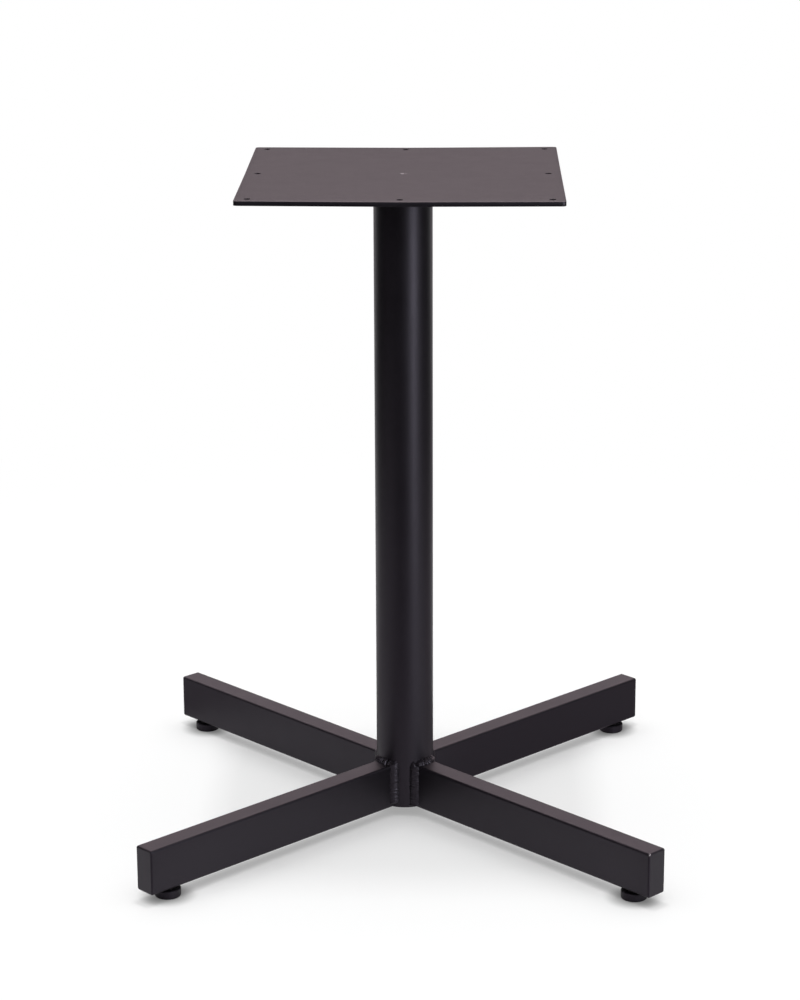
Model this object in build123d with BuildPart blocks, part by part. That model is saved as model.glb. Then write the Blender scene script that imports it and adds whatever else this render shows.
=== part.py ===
"""Star table base: a square top plate on a round column, with four welded legs on levelling glides."""
from build123d import *
import math
import os

# Overall size, in millimetres, with the origin on the floor under the column
base_height = 725.5
leg_tip_radius = 378.0

# Top plate and its wood screw holes
plate_size = 336.5
plate_thickness = 4.8
plate_corner = 4.0
plate_edge = 0.25
screw_hole_diameter = 7.0
screw_hole_inset = 13.5
punch_mark_diameter = 3.0
punch_mark_depth = 0.5

# Column tube
column_diameter = 63.5
column_wall = 2.0

# Legs of rectangular tube, standing on edge
leg_height = 50.0
leg_width = 25.0
leg_wall = 2.0
leg_corner = 2.5
end_plate_thickness = 3.0
end_plate_edge = 2.0

# Fillet welds, measured from the root of the weld to its face
leg_weld_size = 6.0
plate_weld_size = 5.0

# Levelling glides: a moulded pad that swivels on a threaded stud
glide_inset = 31.0
glide_travel = 10.0
pad_diameter = 28.0
pad_height = 9.0
pad_floor = 2.0
pad_bottom_round = 1.8
pad_top_chamfer = 0.6
swivel_gap = 0.5
stud_diameter = 8.0
stud_tip_chamfer = 1.0
stud_spare_length = 3.0
collar_across_flats = 17.0
collar_thickness = 2.5
head_diameter = 12.0
head_thickness = 3.0

# Weld nuts inside the legs
nut_height = 7.0
nut_side_room = 4.0
nut_chamfer = 0.5

# Clearances
running_clearance = 0.05
head_play = 0.3
hole_clearance = 0.5

# Heights and radii that follow from the sizes above
leg_underside = pad_height + swivel_gap + collar_thickness
leg_middle = leg_underside + leg_height / 2
leg_top = leg_underside + leg_height
plate_underside = base_height - plate_thickness
column_radius = column_diameter / 2
glide_radius = leg_tip_radius - glide_inset
nut_seat = leg_underside + leg_wall
stud_top = nut_seat + nut_height + glide_travel + stud_spare_length

leg_azimuths = {
    "front_left": 225.0,
    "front_right": 315.0,
    "rear_right": 45.0,
    "rear_left": 135.0,
}


def outward(azimuth):
    """The horizontal direction in which a leg runs."""
    angle = math.radians(azimuth)
    return Vector(math.cos(angle), math.sin(angle), 0)


def leg_plane(azimuth):
    """A leg's cross-section on the column's axis, with X sideways and Y up."""
    along = outward(azimuth)
    return Plane(origin=(0, 0, leg_middle), x_dir=(-along.Y, along.X, 0), z_dir=along)


def upright_plane(azimuth, radius):
    """The upright plane through the column's axis, with X outward from a radius and Y up from the floor."""
    along = outward(azimuth)
    return Plane(origin=along * radius, x_dir=along, z_dir=(along.Y, -along.X, 0))


def glide_axis(azimuth):
    return Axis(outward(azimuth) * glide_radius, (0, 0, 1))


def top_plate():
    """Laser-cut plate: holes at the corners and mid sides, and a punch mark over the column."""
    hole_spacing = plate_size - 2 * screw_hole_inset
    with BuildPart() as plate:
        with BuildSketch(Plane.XY.offset(plate_underside)):
            RectangleRounded(plate_size, plate_size, plate_corner)
        extrude(amount=plate_thickness)
        broad_faces = plate.faces().filter_by(Axis.Z)
        fillet(broad_faces.edges(), radius=plate_edge)
        with BuildSketch(Plane.XY.offset(plate_underside)):
            with GridLocations(hole_spacing, hole_spacing, 2, 2):
                Circle(screw_hole_diameter / 2)
            with PolarLocations(hole_spacing / 2, 4):
                Circle(screw_hole_diameter / 2)
        extrude(amount=plate_thickness, mode=Mode.SUBTRACT)
        with Locations((0, 0, base_height)):
            Cone(
                bottom_radius=0,
                top_radius=punch_mark_diameter / 2,
                height=punch_mark_depth,
                align=(Align.CENTER, Align.CENTER, Align.MAX),
                mode=Mode.SUBTRACT,
            )
    return plate.part


def column_tube():
    """Round tube, cut square at both ends, from the plate down to the undersides of the legs."""
    with BuildPart() as column:
        with BuildSketch(Plane.XY.offset(leg_underside)):
            Circle(column_radius)
            Circle(column_radius - column_wall, mode=Mode.SUBTRACT)
        extrude(amount=plate_underside - leg_underside)
    return column.part


def plate_weld():
    """Convex bead round the column under the plate."""
    with BuildPart() as weld:
        with BuildSketch(Plane.XZ):
            with Locations((column_radius, plate_underside)):
                Circle(plate_weld_size)
                Rectangle(
                    plate_weld_size,
                    plate_weld_size,
                    align=(Align.MIN, Align.MAX),
                    mode=Mode.INTERSECT,
                )
        revolve(axis=Axis.Z)
    return weld.part


def leg(azimuth):
    """Rectangular tube coped to the column, with a hole for the glide in its lower wall."""
    with BuildPart() as tube:
        with BuildSketch(leg_plane(azimuth)):
            RectangleRounded(leg_width, leg_height, leg_corner)
            RectangleRounded(
                leg_width - 2 * leg_wall,
                leg_height - 2 * leg_wall,
                leg_corner - leg_wall,
                mode=Mode.SUBTRACT,
            )
        extrude(amount=leg_tip_radius - end_plate_thickness)
        with BuildSketch(Plane.XY.offset(leg_underside)):
            Circle(column_radius)
        extrude(amount=leg_height, mode=Mode.SUBTRACT)
        with BuildSketch(Plane.XY.offset(leg_underside)):
            with Locations(outward(azimuth) * glide_radius):
                Circle(stud_diameter / 2 + hole_clearance)
        extrude(amount=leg_wall, mode=Mode.SUBTRACT)
    return tube.part


def leg_end_plate(azimuth):
    """Plate welded over the open tip of a leg, ground flush and rounded over."""
    with BuildPart() as plate:
        with BuildSketch(leg_plane(azimuth).offset(leg_tip_radius - end_plate_thickness)):
            RectangleRounded(leg_width, leg_height, leg_corner)
        extrude(amount=end_plate_thickness)
        tip_face = plate.faces().sort_by(Axis((0, 0, 0), outward(azimuth)))[-1]
        fillet(tip_face.edges(), radius=end_plate_edge)
    return plate.part


def leg_weld(azimuth):
    """One run of weld up a side of the coped joint, across its top and down the other side."""
    half_angle = math.degrees(math.asin(leg_width / column_diameter))
    seams = [outward(azimuth - half_angle) * column_radius, outward(azimuth + half_angle) * column_radius]
    run_end = Vector(0, 0, leg_underside + leg_weld_size)
    run_top = Vector(0, 0, leg_top)
    with BuildPart() as weld:
        with Locations([seam + run_end for seam in seams]):
            Sphere(leg_weld_size)
            Cylinder(
                leg_weld_size,
                leg_height - leg_weld_size,
                align=(Align.CENTER, Align.CENTER, Align.MIN),
            )
        with Locations([seam + run_top for seam in seams]):
            Sphere(leg_weld_size)
        with BuildSketch(upright_plane(azimuth - half_angle, column_radius)):
            with Locations((0, leg_top)):
                Circle(leg_weld_size)
        revolve(axis=Axis.Z, revolution_arc=2 * half_angle)
        with BuildSketch(Plane.XY.offset(leg_underside)):
            Circle(column_radius)
        extrude(amount=leg_height + leg_weld_size, mode=Mode.SUBTRACT)
        with BuildSketch(leg_plane(azimuth)):
            RectangleRounded(leg_width, leg_height, leg_corner)
        extrude(amount=leg_tip_radius, mode=Mode.SUBTRACT)
    return weld.part


def weld_nut(azimuth):
    """Hexagon weld nut on the inside of a leg's lower wall, with its flats along the leg."""
    across_flats = leg_width - 2 * leg_wall - 2 * nut_side_room
    along = outward(azimuth)
    seat = Plane(origin=along * glide_radius + Vector(0, 0, nut_seat), x_dir=along, z_dir=(0, 0, 1))
    with BuildPart() as nut:
        with BuildSketch(seat):
            RegularPolygon(across_flats / 2, side_count=6, major_radius=False)
            Circle(stud_diameter / 2 + running_clearance, mode=Mode.SUBTRACT)
        extrude(amount=nut_height)
        upper_rim = nut.edges().filter_by(GeomType.CIRCLE).sort_by(Axis.Z)[-1]
        chamfer(upper_rim, length=nut_chamfer)
    return nut.part


def glide_stud(azimuth):
    """Stud turned from hexagon bar: swivel head, neck, spanner collar against the leg, and a threaded shank."""
    collar_seat = Plane(origin=outward(azimuth) * glide_radius + Vector(0, 0, leg_underside - collar_thickness))
    with BuildPart() as stud:
        with BuildSketch(upright_plane(azimuth, glide_radius)) as turned:
            with Locations((0, pad_floor)):
                Rectangle(head_diameter / 2, head_thickness, align=(Align.MIN, Align.MIN))
                Rectangle(stud_diameter / 2, stud_top - pad_floor, align=(Align.MIN, Align.MIN))
            tip_corner = turned.vertices().group_by(Axis.Y)[-1].sort_by(Axis.X)[-1]
            chamfer(tip_corner, length=stud_tip_chamfer)
        revolve(axis=glide_axis(azimuth))
        with BuildSketch(collar_seat):
            RegularPolygon(collar_across_flats / 2, side_count=6, major_radius=False)
        extrude(amount=collar_thickness)
    return stud.part


def glide_pad(azimuth):
    """Moulded pad, rounded at the floor, with a pocket that the stud's head snaps into."""
    with BuildPart() as pad:
        with BuildSketch(upright_plane(azimuth, glide_radius)) as moulded:
            Rectangle(pad_diameter / 2, pad_height, align=(Align.MIN, Align.MIN))
            floor_corner = moulded.vertices().group_by(Axis.Y)[0].sort_by(Axis.X)[-1]
            fillet(floor_corner, radius=pad_bottom_round)
            upper_corner = moulded.vertices().group_by(Axis.Y)[-1].sort_by(Axis.X)[-1]
            chamfer(upper_corner, length=pad_top_chamfer)
            with Locations((0, pad_floor)):
                Rectangle(
                    head_diameter / 2 + head_play,
                    head_thickness + head_play,
                    align=(Align.MIN, Align.MIN),
                    mode=Mode.SUBTRACT,
                )
                Rectangle(
                    stud_diameter / 2 + running_clearance,
                    pad_height - pad_floor,
                    align=(Align.MIN, Align.MIN),
                    mode=Mode.SUBTRACT,
                )
        revolve(axis=glide_axis(azimuth))
    return pad.part


def save(part, name):
    part.label = name
    export_step(part, f"parts/{name}.step")


os.makedirs("parts", exist_ok=True)

save(top_plate(), "top_plate")
save(column_tube(), "column_tube")
save(plate_weld(), "plate_weld")
for corner, azimuth in leg_azimuths.items():
    save(leg(azimuth), f"leg_{corner}")
    save(leg_end_plate(azimuth), f"leg_end_plate_{corner}")
    save(leg_weld(azimuth), f"leg_weld_{corner}")
    save(weld_nut(azimuth), f"weld_nut_{corner}")
    save(glide_stud(azimuth), f"glide_stud_{corner}")
    save(glide_pad(azimuth), f"glide_pad_{corner}")
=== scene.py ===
import bpy
import math
import random
from mathutils import Matrix, Vector


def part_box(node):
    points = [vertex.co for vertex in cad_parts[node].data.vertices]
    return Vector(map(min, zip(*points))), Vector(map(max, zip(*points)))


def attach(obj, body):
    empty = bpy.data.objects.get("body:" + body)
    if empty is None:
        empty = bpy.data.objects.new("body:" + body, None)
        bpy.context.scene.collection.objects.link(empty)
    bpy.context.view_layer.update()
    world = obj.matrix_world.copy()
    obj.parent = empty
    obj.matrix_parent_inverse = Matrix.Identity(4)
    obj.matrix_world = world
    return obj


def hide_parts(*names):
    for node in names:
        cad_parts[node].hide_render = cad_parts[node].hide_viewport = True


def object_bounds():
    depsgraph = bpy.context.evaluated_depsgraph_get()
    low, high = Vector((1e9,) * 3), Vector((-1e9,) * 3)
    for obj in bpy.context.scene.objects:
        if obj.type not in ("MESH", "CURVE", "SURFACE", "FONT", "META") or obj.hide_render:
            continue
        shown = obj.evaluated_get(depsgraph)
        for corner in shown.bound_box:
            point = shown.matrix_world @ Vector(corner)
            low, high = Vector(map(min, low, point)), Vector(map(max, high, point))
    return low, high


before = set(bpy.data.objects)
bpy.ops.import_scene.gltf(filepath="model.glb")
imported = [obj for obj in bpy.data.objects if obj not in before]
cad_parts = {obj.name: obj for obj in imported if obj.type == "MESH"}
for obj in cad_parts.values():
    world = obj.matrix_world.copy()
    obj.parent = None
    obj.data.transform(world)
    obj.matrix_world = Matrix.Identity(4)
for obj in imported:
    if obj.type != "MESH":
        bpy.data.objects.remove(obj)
cad_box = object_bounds()

# Column: a length of round steel tube, cut square, standing between the star of legs and the
# top plate. It is sprayed with the rest of the base after welding, in one coat of satin black
# powder that is stoved on, which leaves a fine pebbled skin with faint cloudy patches.
column_radius = 0.03175
coat_deep = (0.0014, 0.0012, 0.0017, 1.0)
coat_cloudy = (0.0024, 0.0021, 0.0028, 1.0)
black_tint = (0.93, 0.79, 1.0, 1.0)
# Bright steel grey painted into the coat: a painted highlight on the front right leg's tip, and
# specks round the punch mark.
bright_patch_grey = (0.33, 0.30, 0.31, 1.0)
leg_tip_painted_glint_place = (0.2584, -0.2750, 0.0612)
punch_speck_place = (0.0, 0.0, 0.7245)
patch_raggedness = 4.0


def add_node(tree, kind, **settings):
    """Adds a node, setting sockets by their names and anything else as a property."""
    node = tree.nodes.new(kind)
    for name, value in settings.items():
        socket = node.inputs.get(name.replace("_", " "))
        if socket is None:
            setattr(node, name, value)
        else:
            socket.default_value = value
    return node


def new_material(name):
    material = bpy.data.materials.new(name)
    material.use_nodes = True
    tree = material.node_tree
    return material, tree, tree.nodes["Principled BSDF"]


def coat_texture_group():
    """Stoved powder: a pebbled skin with cloudy patches."""
    group = bpy.data.node_groups.new("stoved powder", "ShaderNodeTree")
    for name in ("Pebble Size", "Cloud Size"):
        socket = group.interface.new_socket(name, in_out="INPUT", socket_type="NodeSocketFloat")
        socket.default_value = 1.0
    for name in ("Pebble", "Cloud"):
        group.interface.new_socket(name, in_out="OUTPUT", socket_type="NodeSocketFloat")
    inside = group.nodes.new("NodeGroupInput")
    outside = group.nodes.new("NodeGroupOutput")
    place = group.nodes.new("ShaderNodeTexCoord")
    for name, detail, roughness in (("Pebble", 2.0, 0.55), ("Cloud", 5.0, 0.6)):
        rate = add_node(group, "ShaderNodeMath", operation="DIVIDE")
        rate.inputs[0].default_value = 1.0
        texture = add_node(group, "ShaderNodeTexNoise", Detail=detail, Roughness=roughness)
        group.links.new(inside.outputs[f"{name} Size"], rate.inputs[1])
        group.links.new(rate.outputs[0], texture.inputs["Scale"])
        group.links.new(place.outputs["Object"], texture.inputs["Vector"])
        group.links.new(texture.outputs["Fac"], outside.inputs[name])
    return group


def bright_patch_group():
    """A ragged patch of bright steel grey painted into the coat about a place."""
    group = bpy.data.node_groups.new("bright_patch", "ShaderNodeTree")
    group.interface.new_socket("Place", in_out="INPUT", socket_type="NodeSocketVector")
    group.interface.new_socket("Size", in_out="INPUT", socket_type="NodeSocketFloat")
    group.interface.new_socket("Bright_patch", in_out="OUTPUT", socket_type="NodeSocketFloat")
    inside = group.nodes.new("NodeGroupInput")
    outside = group.nodes.new("NodeGroupOutput")
    place = group.nodes.new("ShaderNodeTexCoord")
    reach = add_node(group, "ShaderNodeVectorMath", operation="DISTANCE")
    share = add_node(group, "ShaderNodeMath", operation="DIVIDE")
    ragged = add_node(group, "ShaderNodeTexNoise", Scale=800.0, Detail=1.0)
    edge = add_node(group, "ShaderNodeMath", operation="MULTIPLY_ADD")
    edge.inputs[1].default_value = patch_raggedness
    bright_patch = add_node(group, "ShaderNodeMapRange", From_Min=2.45, From_Max=2.1)
    group.links.new(place.outputs["Object"], reach.inputs[0])
    group.links.new(inside.outputs["Place"], reach.inputs[1])
    group.links.new(reach.outputs["Value"], share.inputs[0])
    group.links.new(inside.outputs["Size"], share.inputs[1])
    group.links.new(place.outputs["Object"], ragged.inputs["Vector"])
    group.links.new(ragged.outputs["Fac"], edge.inputs[0])
    group.links.new(share.outputs[0], edge.inputs[2])
    group.links.new(edge.outputs[0], bright_patch.inputs["Value"])
    group.links.new(bright_patch.outputs["Result"], outside.inputs["Bright_patch"])
    return group


def powder_coat_material():
    material, tree, shader = new_material("black powder coat")
    coat = coat_texture_group()
    texture = add_node(
        tree, "ShaderNodeGroup", node_tree=coat, Pebble_Size=0.0011, Cloud_Size=0.045
    )
    colour = add_node(tree, "ShaderNodeMix", data_type="RGBA")
    colour.inputs["A"].default_value = coat_deep
    colour.inputs["B"].default_value = coat_cloudy
    gloss = add_node(
        tree, "ShaderNodeMapRange", From_Min=0.3, From_Max=0.7, To_Min=0.42, To_Max=0.47
    )
    relief = add_node(tree, "ShaderNodeBump", Strength=0.4, Distance=0.00012)
    bright_patch = bright_patch_group()
    # Painted highlight: a glint on the corner of the front right leg's tip, painted in as steel
    # grey.
    leg_tip_painted_glint = add_node(
        tree, "ShaderNodeGroup", node_tree=bright_patch, Place=leg_tip_painted_glint_place, Size=0.0022
    )
    # Bright specks painted round the plate's punch mark in the same steel grey.
    punch_specks = add_node(
        tree, "ShaderNodeGroup", node_tree=bright_patch, Place=punch_speck_place, Size=0.0045
    )
    bright_patch_mask = add_node(tree, "ShaderNodeMath", operation="MAXIMUM")
    steel = add_node(tree, "ShaderNodeMix", data_type="RGBA")
    steel.inputs["B"].default_value = bright_patch_grey
    shader.inputs["Specular IOR Level"].default_value = 0.37
    shader.inputs["Specular Tint"].default_value = black_tint
    tree.links.new(leg_tip_painted_glint.outputs["Bright_patch"], bright_patch_mask.inputs[0])
    tree.links.new(punch_specks.outputs["Bright_patch"], bright_patch_mask.inputs[1])
    tree.links.new(bright_patch_mask.outputs[0], steel.inputs["Factor"])
    tree.links.new(texture.outputs["Cloud"], colour.inputs["Factor"])
    tree.links.new(colour.outputs["Result"], steel.inputs["A"])
    tree.links.new(steel.outputs["Result"], shader.inputs["Base Color"])
    tree.links.new(texture.outputs["Cloud"], gloss.inputs["Value"])
    tree.links.new(gloss.outputs["Result"], shader.inputs["Roughness"])
    tree.links.new(texture.outputs["Pebble"], relief.inputs["Height"])
    tree.links.new(relief.outputs["Normal"], shader.inputs["Normal"])
    return material


powder_coat = powder_coat_material()


def give_finish(piece, material):
    """Leaves a piece with one material."""
    piece.data.materials.clear()
    piece.data.materials.append(material)


def dress(node_name, material):
    """Gives a carried-over solid its finish."""
    give_finish(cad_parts[node_name], material)


dress("column_tube", powder_coat)

# Legs: four lengths of rectangular tube on edge, coped to the column, each with a small plate
# welded over its tip, ground flush and rounded over before the coat goes on.
leg_azimuths = {"front_left": 225.0, "front_right": 315.0, "rear_right": 45.0, "rear_left": 135.0}
for corner in leg_azimuths:
    dress(f"leg_{corner}", powder_coat)
    dress(f"leg_end_plate_{corner}", powder_coat)

# Leg welds: one run on each leg, laid by hand up a side of the coped joint, across its top and
# down the other side. Each drop of metal set half over the last one, so the run is rippled
# under the coat.
leg_underside, leg_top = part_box("leg_front_left")[0][2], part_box("leg_front_left")[1][2]
leg_half_width = 0.0125
seam_angle = math.asin(leg_half_width / column_radius)
weld_bite = 0.0003
weld_voxel = 0.0004
drop_radius, drop_sink, drop_thickness, drop_lean = 0.0098, 0.0048, 0.0031, 12.0
drop_wander = 0.0003
drop_pitch = 0.0017
pitch_spread = (0.85, 1.15)
run_end_gap = 0.0048
corner_swell = 0.88
top_taper = 0.14
top_lean = 8.0
top_pitch_and_ripple = {
    "front_left": (0.0017, 0.0017),
    "front_right": (0.0046, 0.0044),
    "rear_right": (0.0020, 0.0022),
    "rear_left": (0.0028, 0.0026),
}


def select_only(piece):
    bpy.ops.object.select_all(action="DESELECT")
    piece.select_set(True)
    bpy.context.view_layer.objects.active = piece


def finish_with(piece, kind, **settings):
    """Adds a modifier to a piece and applies it."""
    select_only(piece)
    modifier = piece.modifiers.new(kind.lower(), kind)
    for name, value in settings.items():
        setattr(modifier, name, value)
    bpy.ops.object.modifier_apply(modifier=modifier.name)


def settle(piece):
    """Leaves a piece at the origin, unturned and unscaled."""
    select_only(piece)
    bpy.ops.object.transform_apply(location=True, rotation=True, scale=True)


def lay_weld(name, drops, parents):
    """Melts drops of (root, travel, face, radius, sink, thickness, lean) into one run."""
    bpy.ops.object.select_all(action="DESELECT")
    bpy.ops.mesh.primitive_uv_sphere_add(segments=24, ring_count=12, radius=1.0)
    first = bpy.context.object
    copies = []
    for root, travel, face, radius, sink, thickness, lean in drops:
        drop = first.copy()
        drop.data = first.data.copy()
        bpy.context.scene.collection.objects.link(drop)
        axes = Matrix((face.cross(travel), face, travel)).transposed()
        axes = axes @ Matrix.Rotation(math.radians(lean), 3, "X")
        axes = axes @ Matrix.Diagonal((radius, radius, thickness))
        drop.matrix_world = Matrix.Translation(root - face * sink) @ axes.to_4x4()
        copies.append(drop)
    bpy.data.objects.remove(first)
    run = copies[0]
    for drop in copies:
        drop.select_set(True)
    bpy.context.view_layer.objects.active = run
    bpy.ops.object.join()
    run.name = name
    settle(run)
    finish_with(run, "REMESH", mode="VOXEL", voxel_size=weld_voxel)
    finish_with(run, "SMOOTH", factor=0.5, iterations=1)
    for parent in parents:
        finish_with(run, "BOOLEAN", operation="DIFFERENCE", solver="MANIFOLD", object=parent)
    bpy.ops.object.shade_smooth()
    give_finish(run, powder_coat)
    return run


def leg_seam(top_pitch, top_ripple, seed):
    """Drops for a leg along X: up the left of the joint, over its top and down the right."""
    chance = random.Random(seed)
    drops = []

    def add(root, travel, face, swell=1.0, thickness=drop_thickness, lean=drop_lean):
        size = drop_radius * swell * chance.uniform(0.97, 1.02)
        wander = face.cross(travel) * chance.uniform(-drop_wander, drop_wander)
        depth = thickness * chance.uniform(0.9, 1.1)
        drops.append((root + wander, travel, face, size, drop_sink, depth, lean))

    def upright(side, height, travel_up):
        across = side * column_radius * math.sin(seam_angle)
        root = Vector((column_radius * math.cos(seam_angle), across, height))
        face = Vector((1 - math.sin(seam_angle), side * math.cos(seam_angle), 0)).normalized()
        return root, Vector((0, 0, travel_up)), face

    def over(angle):
        out = Vector((math.cos(angle), math.sin(angle), 0))
        root = out * column_radius + Vector((0, 0, leg_top))
        travel = Vector((math.sin(angle), -math.cos(angle), 0))
        return root, travel, (out + Vector((0, 0, 1))).normalized()

    def turn_corner(start, finish):
        for share in (0.25, 0.5, 0.75):
            root, travel, face = (a.lerp(b, share) for a, b in zip(start, finish))
            travel.normalize()
            square_face = (face - travel * face.dot(travel)).normalized()
            add(root, travel, square_face, swell=corner_swell)

    low = leg_underside + run_end_gap
    height = low
    while height < leg_top:
        add(*upright(1, height, 1))
        height += drop_pitch * chance.uniform(*pitch_spread)
    turn_corner(upright(1, leg_top, 1), over(seam_angle))
    angle = seam_angle
    while angle > -seam_angle:
        swell = chance.uniform(0.98, 1.06) - top_taper * (angle / seam_angle) ** 2
        lean = chance.uniform(-top_lean, top_lean)
        add(*over(angle), swell=swell, thickness=top_ripple, lean=lean)
        angle -= top_pitch * chance.uniform(*pitch_spread) / column_radius
    turn_corner(over(-seam_angle), upright(-1, leg_top, -1))
    height = leg_top
    while height > low:
        add(*upright(-1, height, -1))
        height -= drop_pitch * chance.uniform(*pitch_spread)
    add(*upright(-1, low, -1))
    return drops


bpy.ops.object.select_all(action="DESELECT")
bpy.ops.mesh.primitive_cylinder_add(
    vertices=160, radius=column_radius - weld_bite, depth=2.0, location=(0, 0, 0.5)
)
column_core = bpy.context.object
bpy.ops.mesh.primitive_cube_add(size=1.0, location=(0.1, 0, (leg_underside + leg_top) / 2))
leg_core = bpy.context.object
leg_core.scale = (0.2, 2 * (leg_half_width - weld_bite), leg_top - leg_underside - 2 * weld_bite)
settle(leg_core)

for seed, (corner, azimuth) in enumerate(leg_azimuths.items()):
    drops = leg_seam(*top_pitch_and_ripple[corner], seed)
    run = lay_weld(f"weld_run_{corner}", drops, (column_core, leg_core))
    run.rotation_euler = (0, 0, math.radians(azimuth))
    settle(run)
    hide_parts(f"leg_weld_{corner}")
    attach(run, "base")
bpy.data.objects.remove(leg_core)

# Top plate: laser-cut steel with wood screw holes, welded to the column from below.
# The heat of the weld drew its middle down, so the corners stand up about a millimetre.
plate_size, plate_thickness, plate_corner, plate_edge = 0.3365, 0.0048, 0.004, 0.00025
plate_cells, rim_margin = 42, 0.0001
hole_inset, hole_radius, drill_length = 0.0135, 0.0035, 0.02
punch_radius, punch_depth = 0.0015, 0.0005
corner_lift = {(-1, -1): 0.0010, (1, -1): 0.0004, (1, 1): 0.0010, (-1, 1): 0.0006}
lift_power = 1.2
plate_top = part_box("top_plate")[1][2]
half_plate = plate_size / 2

bpy.ops.object.select_all(action="DESELECT")
bpy.ops.mesh.primitive_grid_add(
    x_subdivisions=plate_cells,
    y_subdivisions=plate_cells,
    size=plate_size,
    location=(0, 0, plate_top),
)
plate = bpy.context.object
plate.name = "dished_plate"
settle(plate)
bpy.ops.object.mode_set(mode="EDIT")
bpy.ops.mesh.select_all(action="SELECT")
bpy.ops.mesh.extrude_region_move(TRANSFORM_OT_translate={"value": (0, 0, -plate_thickness)})
bpy.ops.mesh.select_all(action="SELECT")
bpy.ops.mesh.normals_make_consistent(inside=False)
bpy.ops.mesh.select_all(action="DESELECT")
bpy.ops.mesh.select_mode(type="EDGE")
bpy.ops.object.mode_set(mode="OBJECT")
at_corner = [
    min(abs(vertex.co.x), abs(vertex.co.y)) > half_plate - rim_margin
    for vertex in plate.data.vertices
]
for edge in plate.data.edges:
    edge.select = at_corner[edge.vertices[0]] and at_corner[edge.vertices[1]]
bpy.ops.object.mode_set(mode="EDIT")
bpy.ops.mesh.bevel(offset=plate_corner, segments=6, affect="EDGES")
bpy.ops.mesh.select_all(action="DESELECT")
bpy.ops.mesh.edges_select_sharp(sharpness=math.radians(60))
bpy.ops.mesh.bevel(offset=plate_edge, segments=2, affect="EDGES")
bpy.ops.object.mode_set(mode="OBJECT")

hole_reach = half_plate - hole_inset
holes = []
for x in (-hole_reach, 0, hole_reach):
    for y in (-hole_reach, 0, hole_reach):
        if x or y:
            bpy.ops.mesh.primitive_cylinder_add(
                vertices=40, radius=hole_radius, depth=drill_length, location=(x, y, plate_top)
            )
            holes.append(bpy.context.object)
bpy.ops.mesh.primitive_cone_add(
    vertices=24,
    radius1=2 * punch_radius,
    radius2=0,
    depth=2 * punch_depth,
    location=(0, 0, plate_top),
    rotation=(math.pi, 0, 0),
)
for drill in holes:
    drill.select_set(True)
bpy.ops.object.join()
drills = bpy.context.object
settle(drills)
finish_with(plate, "BOOLEAN", operation="DIFFERENCE", solver="MANIFOLD", object=drills)
bpy.data.objects.remove(drills)

plate_sag = max(corner_lift.values())
for vertex in plate.data.vertices:
    x, y = vertex.co.x / half_plate, vertex.co.y / half_plate
    lift = corner_lift[(1 if x > 0 else -1, 1 if y > 0 else -1)] * abs(x * y) ** lift_power
    vertex.co.z += lift - plate_sag
bpy.ops.object.shade_smooth_by_angle(angle=math.radians(30))
give_finish(plate, powder_coat)
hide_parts("top_plate")
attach(plate, "base")

# Plate weld: a rippled run right round the column, under the plate. It is laid in the same way
# as the legs' runs, with smaller drops, and holds the plate to the tube's cut end.
ring_drop_radius, ring_drop_sink, ring_drop_thickness = 0.0066, 0.0025, 0.0024
ring_pitch = 0.0018
plate_seam_height = plate_top - plate_thickness - plate_sag
bpy.ops.object.select_all(action="DESELECT")
bpy.ops.mesh.primitive_cube_add(size=1.0, location=(0, 0, plate_seam_height + 0.5 + weld_bite))
plate_core = bpy.context.object
ring_chance = random.Random(11)
ring_drops = []
angle = 0.0
while angle < 2 * math.pi:
    out = Vector((math.cos(angle), math.sin(angle), 0))
    travel = Vector((-math.sin(angle), math.cos(angle), 0))
    face = (out - Vector((0, 0, 1))).normalized()
    root = out * column_radius + Vector((0, 0, plate_seam_height))
    size = ring_drop_radius * ring_chance.uniform(0.95, 1.03)
    ring_drops.append((root, travel, face, size, ring_drop_sink, ring_drop_thickness, drop_lean))
    angle += ring_pitch * ring_chance.uniform(*pitch_spread) / column_radius
ring = lay_weld("weld_run_plate", ring_drops, (column_core, plate_core))
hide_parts("plate_weld")
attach(ring, "base")
bpy.data.objects.remove(plate_core)
bpy.data.objects.remove(column_core)

# Weld nuts: zinc-plated hexagon nuts inside the legs, one over each glide hole.
# They are welded to the lower wall before the tips are closed.
zinc_light = (0.52, 0.53, 0.55, 1.0)
zinc_dull = (0.38, 0.38, 0.39, 1.0)
zinc_grain = (900.0, 900.0, 900.0)


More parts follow.
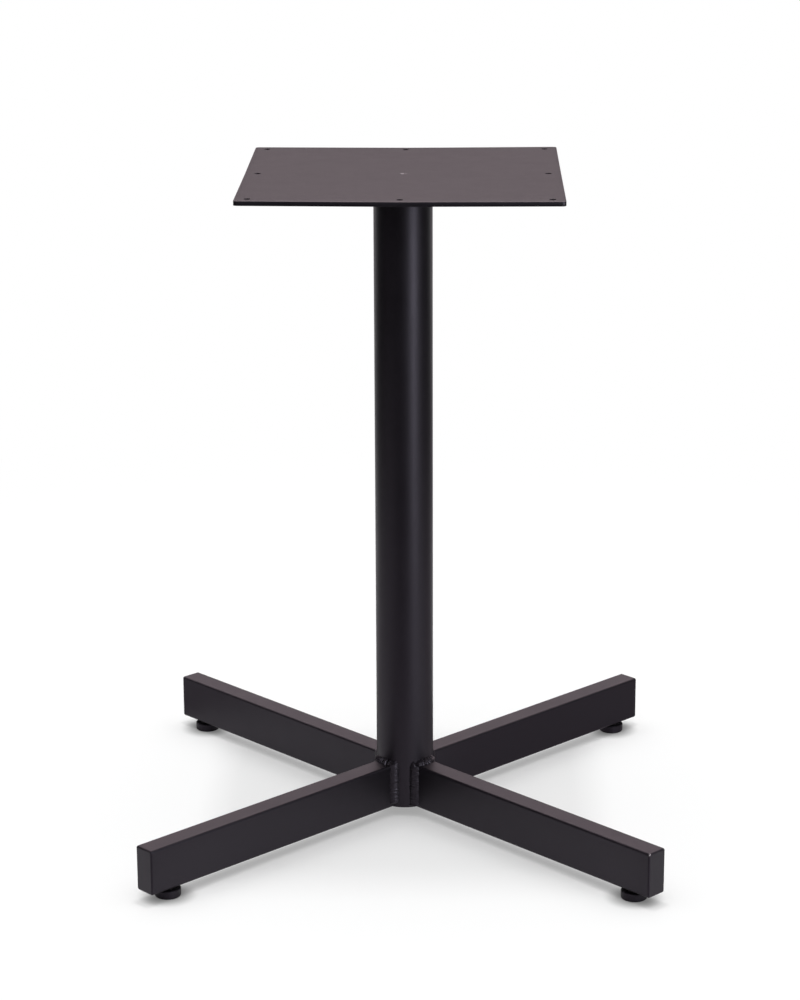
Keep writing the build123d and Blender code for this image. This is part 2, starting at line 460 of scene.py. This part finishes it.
def metal_material(name, light, dull, roughness, grain_scale):
    """Bare or plated steel with cloudy patches and fine marks from the tool that cut it."""
    material, tree, shader = new_material(name)
    place = tree.nodes.new("ShaderNodeTexCoord")
    stretch = add_node(tree, "ShaderNodeMapping")
    stretch.inputs["Scale"].default_value = grain_scale
    marks = add_node(tree, "ShaderNodeTexNoise", Scale=1.0, Detail=2.0)
    patches = add_node(tree, "ShaderNodeTexNoise", Scale=260.0, Detail=4.0)
    colour = add_node(tree, "ShaderNodeMix", data_type="RGBA")
    colour.inputs["A"].default_value = light
    colour.inputs["B"].default_value = dull
    gloss = add_node(
        tree, "ShaderNodeMapRange", To_Min=roughness - 0.08, To_Max=roughness + 0.1
    )
    relief = add_node(tree, "ShaderNodeBump", Strength=0.2, Distance=0.00005)
    shader.inputs["Metallic"].default_value = 1.0
    tree.links.new(place.outputs["Object"], stretch.inputs["Vector"])
    tree.links.new(stretch.outputs["Vector"], marks.inputs["Vector"])
    tree.links.new(place.outputs["Object"], patches.inputs["Vector"])
    tree.links.new(patches.outputs["Fac"], colour.inputs["Factor"])
    tree.links.new(colour.outputs["Result"], shader.inputs["Base Color"])
    tree.links.new(marks.outputs["Fac"], gloss.inputs["Value"])
    tree.links.new(gloss.outputs["Result"], shader.inputs["Roughness"])
    tree.links.new(marks.outputs["Fac"], relief.inputs["Height"])
    tree.links.new(relief.outputs["Normal"], shader.inputs["Normal"])
    return material


zinc = metal_material("zinc plate", zinc_light, zinc_dull, 0.38, zinc_grain)
for corner in leg_azimuths:
    dress(f"weld_nut_{corner}", zinc)

# Glide studs: turned from hexagon bar and blackened, with a swivel head, a collar for a spanner
# and a rolled M8 thread that winds up into the weld nut.
head_radius, head_low, head_high, head_chamfer = 0.0060, 0.0020, 0.0050, 0.0004
shank_radius, shank_stub_top = 0.0040, 0.0110
collar_low, collar_high = 0.0095, 0.0120
collar_across_flats, collar_chamfer = 0.0170, 0.0006
collar_face_radius, collar_bar_radius = 0.0087, 0.0099
thread_pitch, thread_depth, thread_root_radius = 0.00125, 0.00075, 0.0032
thread_overlap = 0.0005
thread_foot = collar_high - thread_overlap
tip_radius, tip_chamfer, tip_clear_radius, tip_margin = 0.0030, 0.0015, 0.0045, 0.0001
stud_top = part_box("glide_stud_front_left")[1][2]
blackened_light = (0.050, 0.047, 0.050, 1.0)
blackened_dull = (0.024, 0.022, 0.024, 1.0)
turning_grain = (300.0, 300.0, 4000.0)


def turned(name, profile):
    """Draws a round piece up from its lower face, through steps of (radius, height)."""
    radius, height = profile[0]
    bpy.ops.object.select_all(action="DESELECT")
    bpy.ops.mesh.primitive_circle_add(
        vertices=48, radius=radius, fill_type="NGON", location=(0, 0, height)
    )
    piece = bpy.context.object
    piece.name = name
    settle(piece)
    bpy.ops.object.mode_set(mode="EDIT")
    bpy.ops.mesh.select_mode(type="FACE")
    bpy.ops.mesh.select_all(action="SELECT")
    for next_radius, next_height in profile[1:]:
        rise = (0, 0, next_height - height)
        bpy.ops.mesh.extrude_region_move(TRANSFORM_OT_translate={"value": rise})
        grow = next_radius / radius
        bpy.ops.transform.resize(value=(grow, grow, 1.0), center_override=(0, 0, next_height))
        radius, height = next_radius, next_height
    bpy.ops.mesh.select_all(action="SELECT")
    bpy.ops.mesh.normals_make_consistent(inside=False)
    bpy.ops.object.mode_set(mode="OBJECT")
    return piece


stud = turned(
    "stud",
    [
        (head_radius - head_chamfer, head_low),
        (head_radius, head_low + head_chamfer),
        (head_radius, head_high),
        (shank_radius, head_high),
        (shank_radius, shank_stub_top),
    ],
)

bpy.ops.object.select_all(action="DESELECT")
bpy.ops.mesh.primitive_cylinder_add(
    vertices=6,
    radius=collar_across_flats / 2 / math.cos(math.pi / 6),
    depth=collar_high - collar_low,
    location=(0, 0, (collar_low + collar_high) / 2),
)
collar = bpy.context.object
collar.rotation_euler = (0, 0, math.radians(30))
settle(collar)
collar_turning = turned(
    "collar_turning",
    [
        (collar_face_radius, collar_low),
        (collar_bar_radius, collar_low + collar_chamfer),
        (collar_bar_radius, collar_high - collar_chamfer),
        (collar_face_radius, collar_high),
    ],
)
finish_with(collar, "BOOLEAN", operation="INTERSECT", solver="MANIFOLD", object=collar_turning)
bpy.data.objects.remove(collar_turning)

bpy.ops.object.select_all(action="DESELECT")
bpy.ops.mesh.primitive_plane_add(
    size=0.001, location=(thread_root_radius, 0, collar_high - 2 * thread_pitch)
)
thread = bpy.context.object
settle(thread)
bpy.ops.object.mode_set(mode="EDIT")
bpy.ops.mesh.select_mode(type="VERT")
bpy.ops.mesh.select_all(action="SELECT")
bpy.ops.mesh.merge(type="CENTER")
for depths_out, pitches_up in ((0, 0.16), (1, 0.34), (0, 0.12), (-1, 0.34), (0, 0.04)):
    step = (depths_out * thread_depth, 0, pitches_up * thread_pitch)
    bpy.ops.mesh.extrude_vertices_move(TRANSFORM_OT_translate={"value": step})
bpy.ops.object.mode_set(mode="OBJECT")
finish_with(
    thread,
    "SCREW",
    axis="Z",
    angle=2 * math.pi,
    screw_offset=thread_pitch,
    iterations=math.ceil((stud_top - collar_high) / thread_pitch) + 3,
    steps=32,
    render_steps=32,
)
bpy.ops.object.mode_set(mode="EDIT")
bpy.ops.mesh.select_all(action="SELECT")
bpy.ops.mesh.remove_doubles(threshold=0.00001)
for cut, out in ((thread_foot, -1), (stud_top, 1)):
    bpy.ops.mesh.select_all(action="SELECT")
    bpy.ops.mesh.bisect(
        plane_co=(0, 0, cut),
        plane_no=(0, 0, out),
        use_fill=True,
        clear_outer=True,
        threshold=0.000001,
    )
bpy.ops.mesh.select_all(action="SELECT")
bpy.ops.mesh.normals_make_consistent(inside=False)
bpy.ops.object.mode_set(mode="OBJECT")
tip_turning = turned(
    "tip_turning",
    [
        (tip_clear_radius, thread_foot - tip_margin),
        (tip_clear_radius, stud_top - tip_chamfer),
        (tip_radius, stud_top),
        (tip_radius, stud_top + tip_margin),
    ],
)
finish_with(thread, "BOOLEAN", operation="INTERSECT", solver="MANIFOLD", object=tip_turning)
bpy.data.objects.remove(tip_turning)

for part in (collar, thread):
    finish_with(stud, "BOOLEAN", operation="UNION", solver="MANIFOLD", object=part)
    bpy.data.objects.remove(part)
bpy.ops.object.shade_smooth_by_angle(angle=math.radians(25))
blackened = metal_material("blackened steel", blackened_light, blackened_dull, 0.42, turning_grain)
give_finish(stud, blackened)
for corner in leg_azimuths:
    low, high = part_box(f"glide_stud_{corner}")
    piece = stud.copy()
    piece.data = stud.data.copy()
    piece.name = f"threaded_stud_{corner}"
    bpy.context.scene.collection.objects.link(piece)
    piece.location = ((low[0] + high[0]) / 2, (low[1] + high[1]) / 2, 0)
    settle(piece)
    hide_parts(f"glide_stud_{corner}")
    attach(piece, f"stud_{corner}")
bpy.data.objects.remove(stud)

# Glide pads: black nylon mouldings that snap over the studs' heads and stand on the floor.
# Their skin is duller than the coat, with a fine grain from the mould.
nylon_deep = (0.0030, 0.0026, 0.0034, 1.0)
nylon_pale = (0.0052, 0.0046, 0.0058, 1.0)


def moulded_plastic_material():
    material, tree, shader = new_material("black nylon")
    place = tree.nodes.new("ShaderNodeTexCoord")
    grain = add_node(tree, "ShaderNodeTexNoise", Scale=2200.0, Detail=3.0)
    flow = add_node(tree, "ShaderNodeTexNoise", Scale=90.0, Detail=3.0)
    colour = add_node(tree, "ShaderNodeMix", data_type="RGBA")
    colour.inputs["A"].default_value = nylon_deep
    colour.inputs["B"].default_value = nylon_pale
    gloss = add_node(
        tree, "ShaderNodeMapRange", From_Min=0.3, From_Max=0.7, To_Min=0.46, To_Max=0.58
    )
    relief = add_node(tree, "ShaderNodeBump", Strength=0.3, Distance=0.00004)
    shader.inputs["Specular IOR Level"].default_value = 0.30
    shader.inputs["Specular Tint"].default_value = black_tint
    tree.links.new(place.outputs["Object"], grain.inputs["Vector"])
    tree.links.new(place.outputs["Object"], flow.inputs["Vector"])
    tree.links.new(flow.outputs["Fac"], colour.inputs["Factor"])
    tree.links.new(colour.outputs["Result"], shader.inputs["Base Color"])
    tree.links.new(flow.outputs["Fac"], gloss.inputs["Value"])
    tree.links.new(gloss.outputs["Result"], shader.inputs["Roughness"])
    tree.links.new(grain.outputs["Fac"], relief.inputs["Height"])
    tree.links.new(relief.outputs["Normal"], shader.inputs["Normal"])
    return material


nylon = moulded_plastic_material()
for corner in leg_azimuths:
    dress(f"glide_pad_{corner}", nylon)

# Studio: a white floor that fades into a white surround, with a soft contact shadow painted into
# it round each pad, a broad soft light overhead and an upright soft light to the right of the
# camera.
# Cards and flags beside the set give the black coat something to mirror.
paper_white = 0.94
dome_low, dome_high, dome_falloff = 0.1, 2.65, 4.0
dark = (0.02, 0.02, 0.02, 1.0)
flag_low, flag_high = 0.002, 0.004


def direct_view(tree):
    """Puts out 1 for what is seen by the camera, straight on or in a shiny or clear surface."""
    rays = tree.nodes.new("ShaderNodeLightPath")
    mirrored = add_node(tree, "ShaderNodeMath", operation="MAXIMUM")
    seen = add_node(tree, "ShaderNodeMath", operation="MAXIMUM")
    tree.links.new(rays.outputs["Is Glossy Ray"], mirrored.inputs[0])
    tree.links.new(rays.outputs["Is Transmission Ray"], mirrored.inputs[1])
    tree.links.new(rays.outputs["Is Camera Ray"], seen.inputs[0])
    tree.links.new(mirrored.outputs[0], seen.inputs[1])
    return seen.outputs[0]


def floor_material():
    material, tree, shader = new_material("white studio floor")
    tree.nodes.remove(shader)
    output = tree.nodes["Material Output"]
    place = tree.nodes.new("ShaderNodeTexCoord")
    reach = add_node(tree, "ShaderNodeVectorMath", operation="LENGTH")
    fade = add_node(
        tree,
        "ShaderNodeMapRange",
        interpolation_type="SMOOTHSTEP",
        From_Min=0.5,
        From_Max=1.6,
        To_Min=0.35,
    )
    pad_low, pad_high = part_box("glide_pad_rear_right")
    pad_middle = ((pad_low[0] + pad_high[0]) / 2, (pad_low[1] + pad_high[1]) / 2, 0.0)
    # Painted shadow: the floor's colour and glow are darkened round each pad, as a contact shadow.
    quarter = add_node(tree, "ShaderNodeVectorMath", operation="ABSOLUTE")
    from_pad = add_node(tree, "ShaderNodeVectorMath", operation="DISTANCE")
    from_pad.inputs[1].default_value = pad_middle
    painted_pad_shadow = add_node(
        tree,
        "ShaderNodeMapRange",
        interpolation_type="SMOOTHSTEP",
        From_Min=0.012,
        From_Max=0.035,
        To_Min=0.44,
    )
    paper_shade = add_node(tree, "ShaderNodeMath", operation="MULTIPLY")
    paper_shade.inputs[1].default_value = paper_white
    paper = tree.nodes.new("ShaderNodeBsdfDiffuse")
    white = tree.nodes.new("ShaderNodeEmission")
    share = add_node(tree, "ShaderNodeMath", operation="MULTIPLY")
    mix = tree.nodes.new("ShaderNodeMixShader")
    tree.links.new(place.outputs["Object"], reach.inputs[0])
    tree.links.new(reach.outputs["Value"], fade.inputs["Value"])
    tree.links.new(place.outputs["Object"], quarter.inputs[0])
    tree.links.new(quarter.outputs["Vector"], from_pad.inputs[0])
    tree.links.new(from_pad.outputs["Value"], painted_pad_shadow.inputs["Value"])
    tree.links.new(painted_pad_shadow.outputs["Result"], paper_shade.inputs[0])
    tree.links.new(paper_shade.outputs[0], paper.inputs["Color"])
    tree.links.new(painted_pad_shadow.outputs["Result"], white.inputs["Strength"])
    tree.links.new(fade.outputs["Result"], share.inputs[0])
    tree.links.new(direct_view(tree), share.inputs[1])
    tree.links.new(share.outputs[0], mix.inputs["Fac"])
    tree.links.new(paper.outputs[0], mix.inputs[1])
    tree.links.new(white.outputs[0], mix.inputs[2])
    tree.links.new(mix.outputs[0], output.inputs["Surface"])
    return material


bpy.ops.object.select_all(action="DESELECT")
bpy.ops.mesh.primitive_circle_add(
    vertices=96, radius=40.0, fill_type="NGON", location=(0, 0, cad_box[0][2])
)
floor = bpy.context.object
floor.name = "studio_floor"
floor.data.materials.append(floor_material())

world = bpy.data.worlds.new("studio surround")
bpy.context.scene.world = world
world.use_nodes = True
sky = world.node_tree
surround = sky.nodes["Background"]
direction = sky.nodes.new("ShaderNodeTexCoord")
height = sky.nodes.new("ShaderNodeSeparateXYZ")
overhead_share = add_node(sky, "ShaderNodeMath", operation="POWER")
overhead_share.inputs[1].default_value = dome_falloff
dome = add_node(sky, "ShaderNodeMapRange", To_Min=dome_low, To_Max=dome_high)
level = sky.nodes.new("ShaderNodeMapRange")
surround.inputs["Color"].default_value = (1.0, 1.0, 1.0, 1.0)
sky.links.new(direct_view(sky), level.inputs["Value"])
sky.links.new(direction.outputs["Generated"], height.inputs["Vector"])
sky.links.new(height.outputs["Z"], overhead_share.inputs[0])
sky.links.new(overhead_share.outputs[0], dome.inputs["Value"])
sky.links.new(dome.outputs["Result"], level.inputs["To Min"])
sky.links.new(level.outputs["Result"], surround.inputs["Strength"])


def sheen_card(name, low, high, glow):
    """A flat card that shows only in the sheen of the coat, as studio flags do."""
    bpy.ops.mesh.primitive_cube_add(size=1.0, location=[(a + b) / 2 for a, b in zip(low, high)])
    card = bpy.context.object
    card.name = name
    card.scale = [b - a for a, b in zip(low, high)]
    bpy.ops.object.transform_apply(location=True, rotation=True, scale=True)
    cloth, _, shader = new_material(name)
    shader.inputs["Base Color"].default_value = (0.0, 0.0, 0.0, 1.0)
    shader.inputs["Specular IOR Level"].default_value = 0.0
    shader.inputs["Emission Color"].default_value = glow
    shader.inputs["Emission Strength"].default_value = 1.0
    card.data.materials.append(cloth)
    card.visible_camera = False
    card.visible_diffuse = False
    card.visible_shadow = False


floor_flags = (
    ("front_floor_flag", (-6.0, 6.0), (-6.0, -0.8), dark),
    ("near_front_floor_flag", (-0.3, 0.3), (-0.8, -0.3), (0.5, 0.46, 0.5, 1.0)),
    ("left_floor_flag", (-6.0, -1.1), (-0.8, -0.1), dark),
    ("far_left_floor_flag", (-6.0, -1.0), (-0.1, 1.6), dark),
    ("right_floor_flag", (1.1, 6.0), (-0.8, -0.1), dark),
    ("far_right_floor_flag", (1.0, 6.0), (-0.1, 1.8), dark),
    ("rear_left_floor_flag", (-0.5, -0.3), (0.0, 0.5), (0.5, 0.46, 0.5, 1.0)),
    ("inner_right_floor_flag", (0.06, 0.29), (0.0, 0.29), (0.42, 0.385, 0.42, 1.0)),
    ("rear_right_floor_flag", (0.29, 0.5), (0.0, 0.5), (0.46, 0.42, 0.46, 1.0)),
    ("mid_right_floor_flag", (0.5, 1.0), (0.0, 1.8), (0.6, 0.55, 0.6, 1.0)),
)
for name, (left, right), (front, back), glow in floor_flags:
    sheen_card(name, (left, front, flag_low), (right, back, flag_high), glow)

standing_cards = (
    ("front_flag", (-6.0, -6.02, 0.0), (6.0, -6.0, 2.7), dark),
    ("left_flag", (-6.02, -6.0, 0.0), (-6.0, 4.2, 1.8), dark),
    ("left_band", (-6.02, -6.0, 1.8), (-6.0, 4.2, 3.2), (0.55, 0.50, 0.55, 1.0)),
    ("high_left_flag", (-6.02, -6.0, 3.2), (-6.0, 4.2, 6.0), dark),
    ("right_flag", (6.0, -6.0, 0.0), (6.02, 4.2, 1.8), dark),
    ("right_band", (6.0, -6.0, 1.8), (6.02, 4.2, 3.2), (0.55, 0.50, 0.55, 1.0)),
    ("high_right_flag", (6.0, -6.0, 3.2), (6.02, 4.2, 6.0), dark),
    ("rear_card", (-1.0, 1.6, 0.25), (1.0, 1.62, 0.62), (0.75, 0.66, 0.71, 1.0)),
    ("ceiling_flag", (-6.0, -6.0, 6.0), (6.0, 3.0, 6.02), (0.15, 0.14, 0.15, 1.0)),
    ("low_back_card", (-8.0, 8.0, 0.0), (8.0, 8.02, 4.0), (0.05, 0.045, 0.05, 1.0)),
    ("high_back_card", (-8.0, 8.0, 4.0), (8.0, 8.02, 9.0), (2.75, 2.33, 2.38, 1.0)),
)
for name, low, high, glow in standing_cards:
    sheen_card(name, low, high, glow)


def soft_light(name, place, aim, width, height, power, colour):
    """A rectangular soft light that points at a place on the object."""
    lamp = bpy.data.lights.new(name, "AREA")
    lamp.color = colour
    lamp.shape = "RECTANGLE"
    lamp.size = width
    lamp.size_y = height
    lamp.energy = power
    light = bpy.data.objects.new(name, lamp)
    light.location = place
    light.rotation_euler = (Vector(aim) - Vector(place)).to_track_quat("-Z", "Y").to_euler()
    bpy.context.scene.collection.objects.link(light)
    return light


soft_light(
    "overhead",
    place=(0.0, 0.0, 3.4),
    aim=(0.0, 0.0, 0.0),
    width=0.16,
    height=0.33,
    power=24.0,
    colour=(1.0, 1.0, 1.0),
)
strip = soft_light(
    "strip",
    place=(1.38, -1.56, 0.9),
    aim=(0.0, 0.0, 0.4),
    width=0.45,
    height=1.8,
    power=42.0,
    colour=(0.9, 1.0, 0.985),
)
strip.visible_diffuse = False

# Camera: a long lens a little above the plate, where the photograph was taken from.
# Its place, turn and focal length come from a fit to the edges in the photograph.
photo_height_px = 1000
focal_px = 2854.2
camera_place = Vector((0.0633, -3.0102, 1.2467))
camera_yaw = math.radians(-1.2892)
camera_pitch = math.radians(16.3646)
camera_roll = math.radians(0.229)
lens = bpy.data.cameras.new("camera")
lens.lens = focal_px * lens.sensor_width / photo_height_px
lens.clip_end = 200.0
camera = bpy.data.objects.new("camera", lens)
bpy.context.scene.collection.objects.link(camera)
bpy.context.scene.camera = camera
turn = Matrix.Rotation(-camera_yaw, 4, "Z") @ Matrix.Rotation(math.pi / 2 - camera_pitch, 4, "X")
roll = Matrix.Rotation(-camera_roll, 4, "Z")
camera.matrix_world = Matrix.Translation(camera_place) @ turn @ roll

bpy.context.scene.view_settings.view_transform = "Standard"
